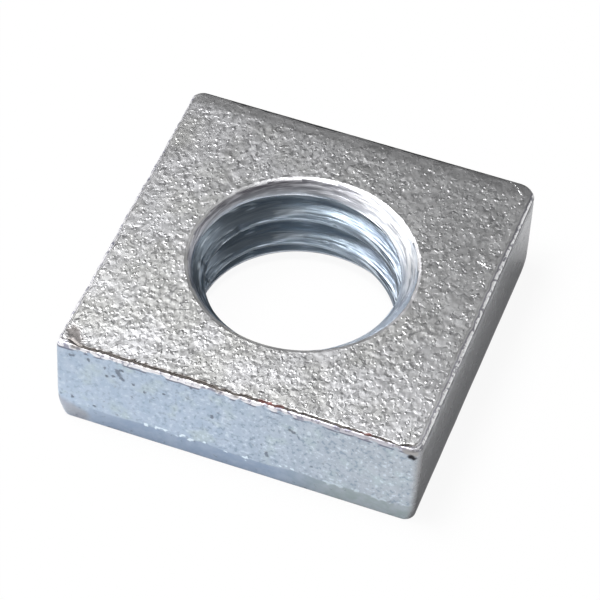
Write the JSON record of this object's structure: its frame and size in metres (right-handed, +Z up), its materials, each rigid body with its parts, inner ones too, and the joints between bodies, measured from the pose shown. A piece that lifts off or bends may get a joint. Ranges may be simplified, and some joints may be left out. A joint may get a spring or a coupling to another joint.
{
  "type": "square nut",
  "caption": "Thin square nut in zinc-plated steel with a right-hand internal thread, countersunk at both mouths.",
  "frame": {"origin": "centre of the seating face, on the thread axis", "axes": "+Z up along the thread axis; the flats face +X, -X, +Y and -Y"},
  "size_m": [0.013, 0.013, 0.0038],
  "materials": {
    "zinc_plated_steel": "bright zinc plate with a faint blue tint over a granular stamped surface"
  },
  "bodies": {
    "root": {"square_nut": "zinc_plated_steel"}
  },
  "joints": []
}
